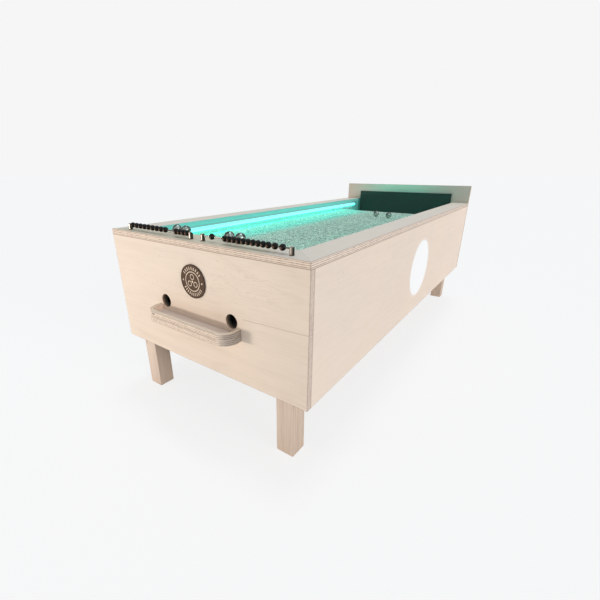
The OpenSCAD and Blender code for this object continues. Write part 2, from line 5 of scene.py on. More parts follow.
import bpy
import bmesh
import numpy as np
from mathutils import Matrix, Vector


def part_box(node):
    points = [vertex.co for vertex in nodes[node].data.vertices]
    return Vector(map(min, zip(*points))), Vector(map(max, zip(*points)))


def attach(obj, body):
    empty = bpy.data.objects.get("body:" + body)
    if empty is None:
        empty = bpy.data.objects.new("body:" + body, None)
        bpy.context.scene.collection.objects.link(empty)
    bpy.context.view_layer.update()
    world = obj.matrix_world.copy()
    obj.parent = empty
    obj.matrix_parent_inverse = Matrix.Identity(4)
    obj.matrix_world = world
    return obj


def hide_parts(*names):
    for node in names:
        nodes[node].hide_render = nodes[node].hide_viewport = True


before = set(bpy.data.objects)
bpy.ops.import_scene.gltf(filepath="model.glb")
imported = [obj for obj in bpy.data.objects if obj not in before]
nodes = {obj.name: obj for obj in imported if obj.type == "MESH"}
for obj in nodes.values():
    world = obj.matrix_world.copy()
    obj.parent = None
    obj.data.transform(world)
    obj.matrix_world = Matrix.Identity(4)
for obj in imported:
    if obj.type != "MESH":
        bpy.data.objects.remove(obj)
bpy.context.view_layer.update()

# Sizes and places, in metres, read from the frame

MM = 0.001
TABLE = "table"
AXES = {"x": 0, "y": 1, "z": 2}

(_, FRONT_Y, _), (HALF_WIDTH, PANEL_BACK, _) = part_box("front_panel")
BOARD = PANEL_BACK - FRONT_Y
_, (_, RIM_BACK, RIM_TOP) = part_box("front_rim")
RIM_WIDTH = RIM_BACK - FRONT_Y

# The outlets are holes, which no box gives, so their sizes are the part's own
OUTLET_X, OUTLET_Z, OUTLET_R = 145 * MM, 391.5 * MM, 21.5 * MM
# Depth of the badge's engraving, also the part's own
BADGE_CUT = 0.8 * MM

# Shader maths


class Sock:
    """One output socket of a node tree. Python's operators on it add Math nodes."""

    def __init__(self, shading, socket):
        self.shading, self.socket = shading, socket

    def math(self, operation, *values):
        """A Math node on this socket and the other values."""
        return self.shading.math(operation, self, *values)

    def __add__(self, other):
        return self.math("ADD", other)

    def __radd__(self, other):
        return self.math("ADD", other)

    def __sub__(self, other):
        return self.math("SUBTRACT", other)

    def __rsub__(self, other):
        return self.shading.math("SUBTRACT", other, self)

    def __mul__(self, other):
        return self.math("MULTIPLY", other)

    def __rmul__(self, other):
        return self.math("MULTIPLY", other)

    def __truediv__(self, other):
        return self.math("DIVIDE", other)

    def __rtruediv__(self, other):
        return self.shading.math("DIVIDE", other, self)

    def __abs__(self):
        return self.math("ABSOLUTE")

    def __neg__(self):
        return self.math("MULTIPLY", -1.0)

    def least(self, other):
        """The lesser of two values."""
        return self.math("MINIMUM", other)

    def most(self, other):
        """The greater of two values."""
        return self.math("MAXIMUM", other)

    def over(self, edge, soft):
        """0 below the edge, 1 above it, and a smooth step of the given width between."""
        return self.shading.node(
            "ShaderNodeMapRange", {"interpolation_type": "SMOOTHSTEP", "clamp": True},
            {"Value": self, "From Min": edge - soft / 2, "From Max": edge + soft / 2})

    def near(self, centre, half, soft):
        """1 within half of the centre, falling smoothly to 0 over the given width."""
        return 1.0 - abs(self - centre).over(half, soft)


class Shading:
    """A node tree, and the nodes that are added to it."""

    # Places of the colour sockets on a Mix node
    MIX_SHARE, MIX_FIRST, MIX_SECOND, MIX_RESULT = 0, 6, 7, 2

    def __init__(self, tree):
        self.tree = tree

    def node(self, kind, settings=None, inputs=(), output=0):
        """Adds any node: its settings first, then values or links for its sockets, by order or by name.
        Gives one output, or a list of them where output is a list of names or places."""
        made = self.tree.nodes.new(kind)
        for name, value in (settings or {}).items():
            if name == "stops":
                self.set_stops(made.color_ramp.elements, value)
            else:
                setattr(made, name, value)
        for key, value in inputs.items() if isinstance(inputs, dict) else enumerate(inputs):
            self.set_input(made.inputs[key], value)
        if isinstance(output, list):
            return [Sock(self, made.outputs[key]) for key in output]
        return Sock(self, made.outputs[output])

    def set_stops(self, elements, stops):
        """Gives a colour ramp its places and colours."""
        while len(elements) < len(stops):
            elements.new(0.5)
        for element, (place, colour) in zip(elements, stops):
            element.position, element.color = place, (*colour, 1.0)

    def set_input(self, socket, value):
        """Links an input to a socket, or gives it a value. A colour is opaque."""
        if isinstance(value, Sock):
            self.tree.links.new(value.socket, socket)
        elif socket.type == "RGBA":
            socket.default_value = (*value, 1.0)
        else:
            socket.default_value = value

    @cached_property
    def place(self):
        """Object coordinates, in metres in the row frame, because every mesh holds its own place."""
        return self.node("ShaderNodeTexCoord", output="Object")

    @cached_property
    def parts(self):
        """The place's x, y and z."""
        return self.split(self.place)

    @cached_property
    def facing(self):
        """The x, y and z of the surface's own direction."""
        return self.split(self.node("ShaderNodeTexCoord", output="Normal"))

    def math(self, operation, *values):
        """A Math node on values or sockets."""
        return self.node("ShaderNodeMath", {"operation": operation}, values)

    def split(self, vector):
        """The three parts of a vector."""
        return self.node("ShaderNodeSeparateXYZ", None, [vector], [0, 1, 2])

    def stretch(self, vector, scale, shift=(0.0, 0.0, 0.0)):
        """A vector scaled and moved along each axis. One number scales all three."""
        scale = scale if isinstance(scale, tuple) else (scale,) * 3
        return self.node("ShaderNodeMapping", None, {"Vector": vector, "Scale": scale, "Location": shift})

    def noise(self, vector, scale=1.0, detail=3.0, rough=0.55, output=0):
        """Smooth fractal noise round 0.5."""
        return self.node("ShaderNodeTexNoise", {"noise_dimensions": "3D"},
                         {"Vector": vector, "Scale": scale, "Detail": detail, "Roughness": rough}, output)

    def grain(self, scale, shift=(0.0, 0.0, 0.0), detail=3.0, rough=0.55):
        """Noise over the place, with as many waves a metre along each axis as the scale says."""
        return self.noise(self.stretch(self.place, scale, shift), detail=detail, rough=rough)

    def cells(self, vector, scale=1.0, output="Color", feature="F1"):
        """Voronoi cells: a colour for each, or the distance to its point or edge."""
        return self.node("ShaderNodeTexVoronoi", {"feature": feature},
                         {"Vector": vector, "Scale": scale}, output)

    def random(self, value):
        """A random number for each value."""
        return self.node("ShaderNodeTexWhiteNoise", {"noise_dimensions": "1D"}, {"W": value})

    def blend(self, share, first, second, how="MIX"):
        """Mixes two colours."""
        return self.node("ShaderNodeMix", {"data_type": "RGBA", "blend_type": how},
                         {self.MIX_SHARE: share, self.MIX_FIRST: first, self.MIX_SECOND: second},
                         self.MIX_RESULT)

    def tint(self, colour, factors, share=1.0):
        """A colour moved by a share towards itself times three factors."""
        return self.blend(share, colour, factors, "MULTIPLY")

    def ramp(self, value, *stops):
        """Colours along a value from 0 to 1."""
        return self.node("ShaderNodeValToRGB", {"stops": stops}, [value])

    def bump(self, height, depth, strength):
        """Relief from a height between 0 and 1 and its depth in metres."""
        return self.node("ShaderNodeBump", None, {"Height": height, "Distance": depth, "Strength": strength})


class Finish(Shading):
    """One material: a Principled shader and the nodes that feed it."""

    def __init__(self, name, **uniform):
        self.material = bpy.data.materials.new(name)
        self.material.use_nodes = True
        super().__init__(self.material.node_tree)
        self.shader = self.tree.nodes["Principled BSDF"]
        self.feed(**uniform)

    def feed(self, **inputs):
        """Links or sets the shader's sockets, named with underlines, and returns the material."""
        for name, value in inputs.items():
            self.set_input(self.shader.inputs[name.replace("_", " ")], value)
        return self.material


def srgb(red, green, blue):
    """Linear colour of 8-bit screen values."""
    return tuple(v / 12.92 if v <= 0.04045 else ((v + 0.055) / 1.055) ** 2.4
                 for v in (c / 255.0 for c in (red, green, blue)))


def darker(colour, share):
    """Linear colour of 8-bit screen values times a share."""
    return srgb(*(int(c * share) for c in colour))


# Wood

PLIES = 7
PLY_FACE, PLY_WARM, PLY_SHADE = srgb(236, 217, 198), srgb(241, 220, 199), srgb(217, 196, 176)
PLY_LINE, PLY_FIBRE, PLY_FLECK = srgb(186, 158, 132), srgb(196, 172, 148), srgb(150, 120, 96)
EDGE_PALE, EDGE_WARM = srgb(247, 224, 205), srgb(238, 214, 195)
EDGE_DARK, EDGE_TICK, ARRIS_BROWN = srgb(132, 98, 82), srgb(184, 152, 128), srgb(146, 116, 96)
SOFTWOOD, LATE_WOOD, SOFTWOOD_FIBRE = srgb(226, 203, 183), srgb(194, 165, 144), srgb(169, 137, 116)
KNOT, SOFTWOOD_END = srgb(150, 112, 84), srgb(170, 138, 112)


def stretched(across_grain, along_grain, along):
    """Scales of a noise field that runs along one axis."""
    scale = [across_grain] * 3
    scale[AXES[along]] = along_grain
    return tuple(scale)


def border(parts, low, high):
    """Distance to the nearest long edge of a box: the middle one of the three distances to its faces."""
    a, b, c = [(parts[i] - low[i]).least(high[i] - parts[i]) for i in range(3)]
    return a.least(b).most(a.most(b).least(c))


def ply_face(f, along, shift, figure, fibre):
    """The figure is the contour lines of a long smooth field, as on a slice through a log. Under it lie warm
    patches and shaded streaks, and over it fibres and flecks."""
    field = f.grain(stretched(5.5, 0.75, along), shift, detail=2.0, rough=0.42)
    line = (field * 12.0).math("FRACT").near(0.5, 0.03, 0.42)
    strong = f.grain(4.0, shift, detail=2.0).over(0.53, 0.2)
    streak = f.grain(stretched(38.0, 1.6, along), shift, detail=4.0, rough=0.6)
    patch = f.grain(2.2, shift, detail=2.0, rough=0.5)
    fleck = f.cells(f.stretch(f.place, stretched(52.0, 17.0, along), shift), output="Distance")
    colour = f.blend(patch.over(0.5, 0.4), PLY_FACE, PLY_WARM)
    colour = f.blend(streak.over(0.56, 0.34) * (0.07 + 0.27 * figure), colour, PLY_SHADE)
    colour = f.blend(line * strong * (0.38 * figure), colour, PLY_LINE)
    colour = f.blend(fibre.over(0.54, 0.34) * 0.15, colour, PLY_FIBRE)
    return f.blend(fleck.near(0.0, 0.05, 0.05) * 0.4, colour, PLY_FLECK)


def ply_edge(f, depth, shift, seed):
    """The edge: four pale plies of long grain and three thin darker ones of end grain. depth runs from 0 to
    1 through the board. Gives the colour, the share of end grain and the fine ticks in it."""
    wander = f.grain(5.0, shift, detail=2.0) - 0.5
    ply = (depth + wander * 0.02) * PLIES
    crosswise = (ply * 0.5).math("FRACT").near(0.75, 0.13, 0.12)
    broken = f.grain(85.0, shift, rough=0.7)
    ticks = f.grain(600.0, shift, detail=2.0, rough=0.7)
    edge = f.blend(f.random(ply.math("FLOOR") + seed * 17.0), EDGE_PALE, EDGE_WARM)
    edge = f.blend(crosswise * (0.35 + broken.over(0.5, 0.25) * 0.65), edge, EDGE_DARK)
    return f.blend(ticks.over(0.56, 0.2) * 0.2, edge, EDGE_TICK), crosswise, ticks


def plywood(node, across, along, seed, tone, figure, marks):
    """Birch plywood for one node. across is the axis through its thickness, along the axis of its face
    grain, tone darkens it, figure sets how plain its grain is. Edges show the plies. marks are functions
    that change the colour before the shader takes it."""
    f = Finish(node + "_ply", IOR=1.45, Specular_IOR_Level=0.2)
    low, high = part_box(node)
    through = AXES[across]
    shift = (seed * 3.17, seed * 1.91, seed * 2.43)
    is_face = abs(f.facing[through]).over(0.7, 0.1)
    fibre = f.grain(stretched(620.0, 13.0, along), shift, rough=0.6)
    edge, crosswise, ticks = ply_edge(f, (f.parts[through] - low[through]) / BOARD, shift, seed)
    shown = f.blend(is_face, edge, ply_face(f, along, shift, figure, fibre))

    # arrises are a little browned by handling and by the saw
    arris = 1.0 - border(f.parts, low, high).over(1.2 * MM, 1.0 * MM)
    shown = f.blend(arris * 0.6, shown, ARRIS_BROWN)
    for mark in marks:
        shown = mark(f, shown)
    if tone != 1.0:
        shown = f.tint(shown, (tone, tone * 1.01, tone * 0.98))
    rough = 0.56 + (fibre - 0.5) * 0.16 + (1.0 - is_face) * 0.14
    relief = fibre * is_face + (ticks * crosswise + (1.0 - crosswise) * 0.5) * (1.0 - is_face)
    return f.feed(Base_Color=shown, Roughness=rough, Normal=f.bump(relief, 0.12 * MM, 0.4))


def timber(node, along, seed):
    """Planed softwood with straight growth lines along one axis and rings on its ends."""
    f = Finish(node + "_timber", IOR=1.45)
    is_end = abs(f.facing[AXES[along]]).over(0.7, 0.1)
    shift = (seed * 2.71, seed * 1.37, seed * 3.33)
    field = f.grain(stretched(24.0, 0.9, along), shift, detail=2.0, rough=0.4)
    late = (field * 8.0).math("FRACT").near(0.8, 0.05, 0.7)
    fibre = f.grain(stretched(700.0, 14.0, along), shift, rough=0.6)
    knots = f.cells(f.stretch(f.place, stretched(9.0, 4.0, along), shift), output="Distance")
    colour = f.blend(late * 0.5, SOFTWOOD, LATE_WOOD)
    colour = f.blend(fibre.over(0.55, 0.4) * 0.25, colour, SOFTWOOD_FIBRE)
    colour = f.blend(knots.near(0.0, 0.06, 0.08) * 0.4, colour, KNOT)
    colour = f.blend(is_end * 0.45, colour, SOFTWOOD_END)
    if along == "z":
        # painted shade on the legs' sideways faces
        colour = painted_shade_leg_sides(f, colour)
    return f.feed(Base_Color=colour, Roughness=0.6 + (fibre - 0.5) * 0.2,
                  Normal=f.bump(fibre, 0.15 * MM, 0.5))


# Marks: each takes a finish and the colour so far, and gives the colour with its mark

# Painted tube glow: sea green tints for the tubes' light on the rims' inner edges and the inner walls
EDGE_GLOW_TINT, WALL_GLOW_TINT = (0.22, 0.90, 0.98), (0.26, 0.57, 0.64)
# The painted tube glow starts at these heights over the mat and in the pit
GLOW_PAINT_Z, PIT_GLOW_PAINT_Z = 520 * MM, 450 * MM
# Along the lane, the pit and the stretch of wall past the tubes start here
PIT_Y, TUBE_END_Y = 630 * MM, 800 * MM
# Middle of the flame figure, start of the joint in the front's veneer, and the tray's burn
FLAME_X, FLAME_Z = 190 * MM, 500 * MM
JOINT_X, JOINT_Z, JOINT_SLOPE = 180 * MM, 407.5 * MM, 0.048
BURN_X, BURN_Z = -131 * MM, 368.6 * MM
# The painted shade of the front rim by the beads ends here, and the painted shade behind the outlets reaches
# this deep
BEADS_END, OUTLET_SHADE_DEPTH = 270 * MM, 450 * MM
# Width of the painted glow of the side light on the wood round it
LENS_GLOW_WIDTH = 16 * MM


def sideways(factors):
    """Tints the faces that look left or right."""
    def mark(f, shown):
        return f.tint(shown, factors, abs(f.facing[0]).over(0.7, 0.1))
    return mark


# The long outer edges of the side rims are cooler than the front's
pale_edge = sideways((0.94, 0.955, 0.98))
# Painted shade: the leg faces that look sideways are painted darker
painted_shade_leg_sides = sideways((0.90, 0.88, 0.84))


def past_mitre(f):
    """How far a place lies behind the 45 degree line of the rim's mitres. It is below 0 on the front rim."""
    x, y, _ = f.parts
    return abs(x) + (y - FRONT_Y) - HALF_WIDTH


def mitre(f, shown):
    """A fine joint where the front rim meets a side rim."""
    joint = 1.0 - abs(past_mitre(f)).over(1.2 * MM, 1.0 * MM)
    return f.blend(joint * 0.12, shown, srgb(150, 126, 108))


def painted_tube_glow(axis, side, stain):
    """Painted tube glow: a thin sea green tint in the base colour that stands for the tubes' light, over the
    mat and in the pit, on faces that look to one side of an axis.
    """
    def mark(f, shown):
        _, y, z = f.parts
        by_mat = z.over(GLOW_PAINT_Z, 30 * MM)
        by_pit = y.over(PIT_Y, 20 * MM) * z.over(PIT_GLOW_PAINT_Z, 40 * MM)
        covered = (f.facing[AXES[axis]] * side).over(0.5, 0.1) * by_mat.most(by_pit)
        glow_unevenness = f.grain((30.0, 4.0, 60.0), detail=4.0, rough=0.65)
        paint = tuple(a * b for a, b in zip(stain, PLY_FACE))
        tinted = f.blend(glow_unevenness.over(0.5, 0.5), paint, tuple(c * 0.94 for c in paint))
        return f.blend(covered * 0.93, shown, tinted)
    return mark


def past_tube(f, shown):
    """The painted tube glow is deeper on the last stretch of a wall, past the tube's far end."""
    return f.tint(shown, (0.45, 1.05, 1.0), f.parts[1].over(TUBE_END_Y, 30 * MM))


def flame(f, shown):
    """A flame figure on the front, right of the badge: contour lines inside an oval that fades out."""
    x, _, z = f.parts
    field = f.grain((4.0, 1.0, 22.0), (1.7, 0.0, 4.2), rough=0.5)
    lines = (field * 14.0).math("FRACT").near(0.5, 0.02, 0.26)
    off = x - FLAME_X
    up = z - FLAME_Z
    away = (off * off * 28.0 + up * up * 190.0).math("SQRT")
    return f.blend(lines * (1.0 - away.over(0.75, 0.7)) * 0.32, shown, srgb(188, 160, 138))


def veneer_joint(f, shown):
    """A joint in the front's veneer, right of the tray. It climbs a little to the right, and wanders."""
    x, _, z = f.parts
    wander = (f.grain((14.0, 0.0, 0.0), detail=1.0) - 0.5) * (6 * MM)
    height = JOINT_Z + (x - JOINT_X) * JOINT_SLOPE + wander
    joint = 1.0 - abs(z - height).over(0.9 * MM, 1.6 * MM)
    return f.blend(joint * x.over(JOINT_X + 5 * MM, 20 * MM) * 0.5, shown, srgb(172, 142, 122))


def in_bores(f):
    """1 on the walls of the two outlets."""
    x, _, z = f.parts
    off = abs(x) - OUTLET_X
    up = z - OUTLET_Z
    reach = (off * off + up * up).math("SQRT")
    return (1.0 - reach.over(OUTLET_R + 0.6 * MM, 0.6 * MM)) * (1.0 - abs(f.facing[1]).over(0.9, 0.1))


def singed_and_shaded_bores(f, shown):
    """The outlets' bores are singed brown by the cutter at their mouths, and painted dark further in, as
    shade inside the holes.
    """
    inside = (f.parts[1] - FRONT_Y).over(7.0 * MM, 10.0 * MM)
    return f.blend(in_bores(f) * 0.92, shown, f.blend(inside, srgb(158, 126, 100), srgb(62, 68, 58)))


def darker_ends(f, shown):
    """The ends of the front panel are a little darker than its face."""
    return f.tint(shown, (0.84, 0.85, 0.86), abs(f.facing[0]).over(0.9, 0.1) * (1.0 - in_bores(f)))


def painted_rim_shade(f, shown):
    """Painted light and shade on the rims' tops: all tops are painted a little cooler, the front rim's top
    yellower along the beads for their shadow, and greyer the further left along the front.
    """
    x, y, _ = f.parts
    top = f.facing[2].over(0.7, 0.1)
    in_front = (1.0 - (y - FRONT_Y).over(RIM_WIDTH, 1.0 * MM)) * (1.0 - past_mitre(f).over(0.0, 0.5 * MM))
    left = ((HALF_WIDTH - x) / (2.0 * HALF_WIDTH)) * in_front
    by_beads = in_front * (1.0 - x.over(BEADS_END, 60 * MM))
    # painted cooler light on the tops
    shown = f.tint(shown, (0.96, 0.99, 1.04), top)
    # painted shadow of the beads, yellower
    shown = f.tint(shown, (0.98, 1.0, 0.91), top * by_beads)
    # painted shade, the more the further left
    return f.tint(shown, (0.80, 0.79, 0.77), top * left * 0.8)


def painted_shade_tray_end(f, shown):
    """Painted shade: the tray's right end, turned away from the key light, is painted darker."""
    return f.tint(shown, (0.42, 0.44, 0.45), f.facing[0].over(0.55, 0.9) * f.parts[0].over(0.1, 0.1))


def behind_bumper(f, shown):
    """The end board's lane side is greyed and cooled. It takes a painted tube glow, a sea green tint for the
    tubes' light, in its middle, a little of it to the right, and most of it beside the bumper's left edge."""
    x, _, z = f.parts
    lane_side = (-f.facing[1]).over(0.7, 0.1) * z.over(PIT_GLOW_PAINT_Z, 10 * MM)
    shown = f.tint(shown, (0.88, 0.89, 0.95), lane_side)
    # painted tube glow to the right, beside the bumper and in the middle
    shown = f.blend(lane_side * x.over(0.2, 0.3) * 0.32, shown, (0.42, 0.58, 0.52))
    bumper_edge = -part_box("end_bumper")[0][0]
    beside = (-x).over(bumper_edge - 8 * MM, 4 * MM) * (1.0 - z.over(RIM_TOP - 1 * MM, 2 * MM)) * lane_side
    shown = f.tint(shown, (0.22, 0.95, 0.98), beside)
    middle = (1.0 - abs(x + 0.02).over(0.22, 0.36)) * lane_side
    return f.tint(shown, (0.62, 1.31, 1.22), middle)


def paler_far(f, shown):
    """The right side panel is a little paler towards its far end."""
    return f.tint(shown, (1.05, 1.035, 1.035), f.parts[1].over(0.45, 0.6))


def painted_lens_glow(f, shown):
    """Painted glow: a paler ring of wood round the side light, for the light it throws on the wood."""
    low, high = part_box("side_light_lens")
    along = f.parts[1] - (low[1] + high[1]) / 2
    up = f.parts[2] - (low[2] + high[2]) / 2
    past = ((along * along + up * up).math("SQRT") - (high[2] - low[2]) / 2) / LENS_GLOW_WIDTH
    # painted glow, fading out from the lens
    return f.blend((1.0 - past).most(0.0) * 0.55, shown, srgb(250, 238, 228))


def painted_light_tray_inside(f, shown):
    """Painted light: the tray's floor, and the walls that look back at the front panel, are painted cooler
    and a little lighter than its outside, for the cool light that falls in.
    """
    return f.tint(shown, (1.03, 1.07, 1.22), f.facing[2].over(0.7, 0.1).most(f.facing[1].over(0.3, 0.2)))


def tray_mark(f, shown):
    """A small burn at the left of the tray's front edge, where a ply has a void."""
    x, _, z = f.parts
    dash = x.near(BURN_X, 5.0 * MM, 2.0 * MM) * z.near(BURN_Z, 1.5 * MM, 0.8 * MM)
    return f.blend(dash * (-f.facing[1]).over(0.5, 0.1) * 0.95, shown, srgb(44, 32, 24))


def painted_shade_behind_outlets(f, shown):
    """Painted shade: the boards behind the outlets are painted near black towards the front, so that the
    outlets look deep.
    """
    share = 1.0 - (f.parts[1] - FRONT_Y).over(OUTLET_SHADE_DEPTH, 400 * MM)
    return f.blend(share * 0.85, shown, (0.016, 0.024, 0.019))


# Other finishes

# Crumbs and chips of the mat for each metre
CRUMBS, FINE_CRUMBS, CHIPS = 290.0, 620.0, 135.0
# The mat's painted tube glow starts this far left and right of its middle, and weakens next to the left tube
MAT_GLOW_TINT = (0.2, 0.97, 0.95)
MAT_GLOW_LEFT, MAT_GLOW_RIGHT, MAT_GLOW_WEAKER = 128 * MM, 235 * MM, 215 * MM


def granulate(name):
    """Bonded granules about 3 mm across, in grey greens, with scattered larger dark and pale chips. The mat
    has painted light that makes it paler at its two ends, and a painted sea green tube glow beside the tubes."""
    f = Finish(name, IOR=1.45, Specular_IOR_Level=0.25)
    warp = f.noise(f.place, 300.0, detail=2.0, rough=0.5, output=1)
    spread = f.node("ShaderNodeVectorMath", {"operation": "MULTIPLY_ADD"}, [warp, (1.6 * MM,) * 3, f.place])
    cell = f.split(f.cells(spread, CRUMBS))
    gap = f.cells(spread, CRUMBS, "Distance", "DISTANCE_TO_EDGE")
    small = f.split(f.cells(spread, FINE_CRUMBS))
    chip = f.split(f.cells(spread, CHIPS))[0]
    chip_core = 1.0 - f.cells(spread, CHIPS, "Distance").over(0.42, 0.2)
    grey = f.ramp(cell[0], (0.0, srgb(66, 80, 74)), (0.14, srgb(108, 126, 118)), (0.3, srgb(154, 176, 164)),
                  (0.7, srgb(186, 206, 194)), (0.86, srgb(212, 226, 216)), (1.0, srgb(246, 250, 244)))
    grey = f.blend(small[1].over(0.82, 0.1) * 0.5, grey, srgb(230, 238, 230))
    grey = f.blend(chip.over(0.82, 0.02) * chip_core * 0.9, grey, srgb(66, 82, 72))
    grey = f.blend((1.0 - chip.over(0.20, 0.02)) * chip_core * 0.9, grey, srgb(244, 250, 244))
    grey = f.blend((1.0 - gap.over(0.05, 0.1)) * 0.45, grey, srgb(84, 100, 92))
    grey = f.tint(grey, (0.99, 1.12, 0.98))
    x, y, _ = f.parts
    # painted light that makes the mat paler at its two ends
    paler = (-y).over(0.45, 0.7) * 0.9 + y.over(0.40, 0.3) * 0.35
    grey = f.tint(grey, (1.17, 1.16, 1.15), paler)
    # painted tube glow beside the tubes
    by_tubes = (-x).over(MAT_GLOW_LEFT, 70 * MM).most(x.over(MAT_GLOW_RIGHT, 70 * MM))
    grey = f.tint(grey, MAT_GLOW_TINT, by_tubes * (0.45 - 0.16 * (-x).over(MAT_GLOW_WEAKER, 40 * MM)))
    height = gap.over(0.12, 0.25) * (0.5 + cell[1] * 0.5)
    return f.feed(Base_Color=grey, Roughness=0.7 + cell[2] * 0.2, Normal=f.bump(height, 1.0 * MM, 0.8))


def bumper_rubber(name):
    """Dark green rubber sheet with a fine crumb, brown where it is worn, and painted light: pale specks in
    its lower left corner.
    """
    f = Finish(name, IOR=1.5, Specular_IOR_Level=0.15)
    low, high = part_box("end_bumper")
    x, _, z = f.parts
    crumb = f.noise(f.place, 900.0, rough=0.7)
    broad = f.noise(f.place, 7.0, rough=0.6)
    worn = f.cells(f.place, 95.0, "Distance").near(0.0, 0.2, 0.1)
    painted_light_specks = f.cells(f.stretch(f.place, 1.0, (3.0, 0.0, 5.0)), 120.0, "Distance").near(0.0, 0.14, 0.1)
    right = (x - low[0]) / (high[0] - low[0])
    up = (z - low[2]) / (high[2] - low[2])
    towards_right = (right + up - 0.9).over(0.4, 1.0)
    # painted light in the lower left corner
    low_left = (0.4 - right).over(0.2, 0.4) * (0.60 - z).over(0.02, 0.06)
    colour = f.blend(broad.over(0.5, 0.4), srgb(44, 80, 72), srgb(50, 77, 69))
    colour = f.blend(crumb.over(0.6, 0.2) * 0.4, colour, srgb(30, 60, 52))
    colour = f.blend(worn * (0.15 + towards_right * 0.7), colour, srgb(38, 30, 24))
    colour = f.blend(painted_light_specks * low_left * 0.6, colour, srgb(120, 136, 122))
    return f.feed(Base_Color=colour, Roughness=0.82 + (crumb - 0.5) * 0.2,
                  Normal=f.bump(crumb, 0.4 * MM, 0.6))


def metal(name, colour, rough, brushed=None, scratch=0.06):
    """Bare metal. brushed names the axis of its fine drawing lines."""
    f = Finish(name, Metallic=1.0)
    lines = f.grain(stretched(900.0, 12.0, brushed) if brushed else 900.0, rough=0.6)
    smudge = f.noise(f.place, 34.0, rough=0.6)
    colour = f.blend(smudge.over(0.55, 0.5) * 0.35, srgb(*colour), darker(colour, 0.86))
    rough = rough + (lines - 0.5) * scratch * 2 + smudge.over(0.6, 0.4) * scratch
    return f.feed(Base_Color=colour, Roughness=rough,
                  Normal=f.bump(lines, 0.02 * MM, 0.3 if brushed else 0.1))


def plastic(name, colour, rough, grain):
    """Moulded plastic with an even grain."""
    f = Finish(name, IOR=1.49)
    pits = f.noise(f.place, 1500.0, detail=2.0, rough=0.6)
    broad = f.noise(f.place, 60.0, detail=2.0, rough=0.5)
    colour = f.blend(broad.over(0.5, 0.6) * 0.5, srgb(*colour), darker(colour, 0.92))
    return f.feed(Base_Color=colour, Roughness=rough + (broad - 0.5) * 0.08,
                  Normal=f.bump(pits, 0.04 * MM, grain))


def dark_beads(name):
    """Turned beads with a near black stain under a satin varnish, brown where the stain is thin, and a
    painted brown highlight on the players' side of each bead.
    """
    f = Finish(name, IOR=1.45, Specular_IOR_Level=0.12, Coat_Weight=0.12, Coat_Roughness=0.12, Coat_IOR=1.4)
    turned = f.grain((420.0, 60.0, 60.0), rough=0.6)
    thin = f.noise(f.place, 150.0, rough=0.6)
    _, y, z = f.facing
    # painted highlight on the players' side of each bead
    painted_highlight = (y * -0.97 + z * -0.22 + (thin - 0.5) * 0.15).over(0.93, 0.1)
    colour = f.blend(thin.over(0.63, 0.2), srgb(9, 13, 10), srgb(58, 38, 26))
    colour = f.blend(turned.over(0.6, 0.2) * 0.4, colour, srgb(10, 9, 7))
    colour = f.blend(painted_highlight * 0.75, colour, srgb(128, 92, 70))
    return f.feed(Base_Color=colour, Roughness=0.4 + (turned - 0.5) * 0.25,
                  Normal=f.bump(turned, 0.08 * MM, 0.5))


def boule_finish(name, seed):
    """Steel of a set of boules: dark with oil and ground bright in patches, with fine scratches from play.
    Painted reflections make it brighter on the players' side and below, and dark on top."""
    f = Finish(name, Metallic=1.0)
    shift = (seed * 0.31, seed * 0.17, seed * 0.53)
    patch = f.grain(75.0, shift, rough=0.7)
    scratch = f.grain((1400.0, 240.0, 1400.0), shift, detail=2.0, rough=0.7)
    x, y, z = f.facing
    # painted reflection: brighter on the players' side
    ground = (x * 0.48 + y * -0.78 + z * 0.40).over(0.72, 0.4)
    # painted reflection: dark over the top
    crown = (x * -0.50 + y * -0.30 + z * 0.81 + (patch - 0.5) * 0.5).over(0.62, 0.22)
    colour = f.ramp(patch - 0.09 + ground * 0.13, (0.0, srgb(26, 34, 30)), (0.43, srgb(42, 50, 45)),
                    (0.49, srgb(128, 142, 134)), (1.0, srgb(186, 196, 190)))
    colour = f.blend(crown * 0.85, colour, srgb(24, 32, 28))
    # painted reflection: bright underneath
    colour = f.blend((-z).over(0.25, 0.4) * 0.85, colour, srgb(226, 236, 230))
    colour = f.blend(scratch.over(0.62, 0.1) * 0.4, colour, srgb(206, 210, 208))
    return f.feed(Base_Color=colour, Roughness=0.27 + scratch * 0.1, Normal=f.bump(scratch, 0.03 * MM, 0.3))


def post_finish(name):
    """Turned steel posts with painted reflections, bright on the players' side and dark on the right, and a
    painted brown shadow round the foot.
    """
    f = Finish(name, Metallic=1.0)
    rod_low, rod_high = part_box("score_rod_left")
    foot_top = (rod_low[2] + rod_high[2]) / 2 - 13.5 * MM
    x, y, _ = f.facing
    lines = f.grain((40.0, 40.0, 2200.0), detail=2.0, rough=0.6)
    blotch = f.noise(f.place, 120.0, rough=0.6) - 0.5
    # painted reflections: a bright strip towards the players and a dark right side
    bright = (x * 0.23 + y * -0.97 + blotch * 0.02).over(0.975, 0.035)
    deep = (x * 0.80 + y * 0.60 + blotch * 0.15).over(0.15, 0.4)
    # painted shadow round the foot
    foot = 1.0 - f.parts[2].over(foot_top, 1.5 * MM)
    colour = f.blend(bright, srgb(118, 106, 95), srgb(164, 154, 146))
    colour = f.blend(deep * 0.9, colour, srgb(34, 46, 40))
    colour = f.blend(foot * 0.5, colour, srgb(84, 66, 54))
    return f.feed(Base_Color=colour, Roughness=0.27 + lines * 0.12, Normal=f.bump(lines, 0.02 * MM, 0.3))


